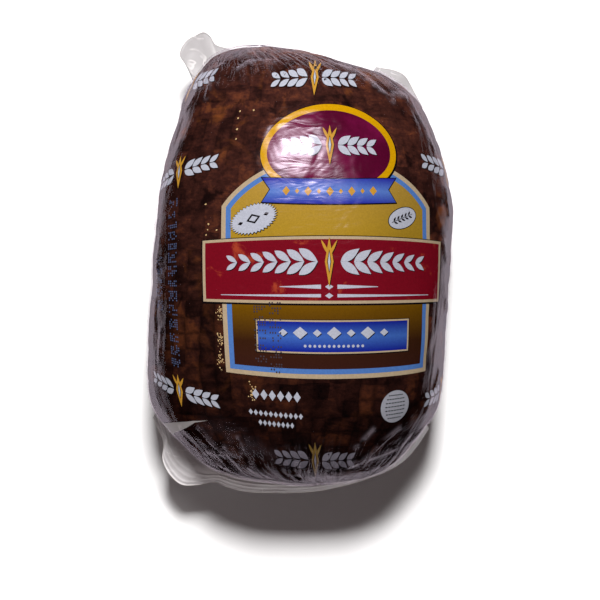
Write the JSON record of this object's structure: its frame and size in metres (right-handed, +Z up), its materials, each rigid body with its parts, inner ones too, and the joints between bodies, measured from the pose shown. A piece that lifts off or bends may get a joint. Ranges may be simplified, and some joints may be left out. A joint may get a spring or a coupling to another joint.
{
  "type": "vacuum-packed virginia ham",
  "caption": "Boneless smoked deli ham, dark brown with a net imprint, shrink-sealed in a clear printed bag and lying on its back.",
  "frame": {"origin": "middle of the pack's box in plan, on the surface that it lies on", "axes": "+Z up out of the printed face, +Y along the ham to the bag's closed end, +X to the right of the printed face"},
  "size_m": [0.1938, 0.2956, 0.1259],
  "materials": {
    "ham_in_film": "smoked brown meat under tight clear film",
    "clear_film": "clear wrinkled shrink film",
    "label_print": "opaque ink printed on the film"
  },
  "bodies": {
    "root": {"sealed_bag": "ham_in_film"}
  },
  "joints": []
}
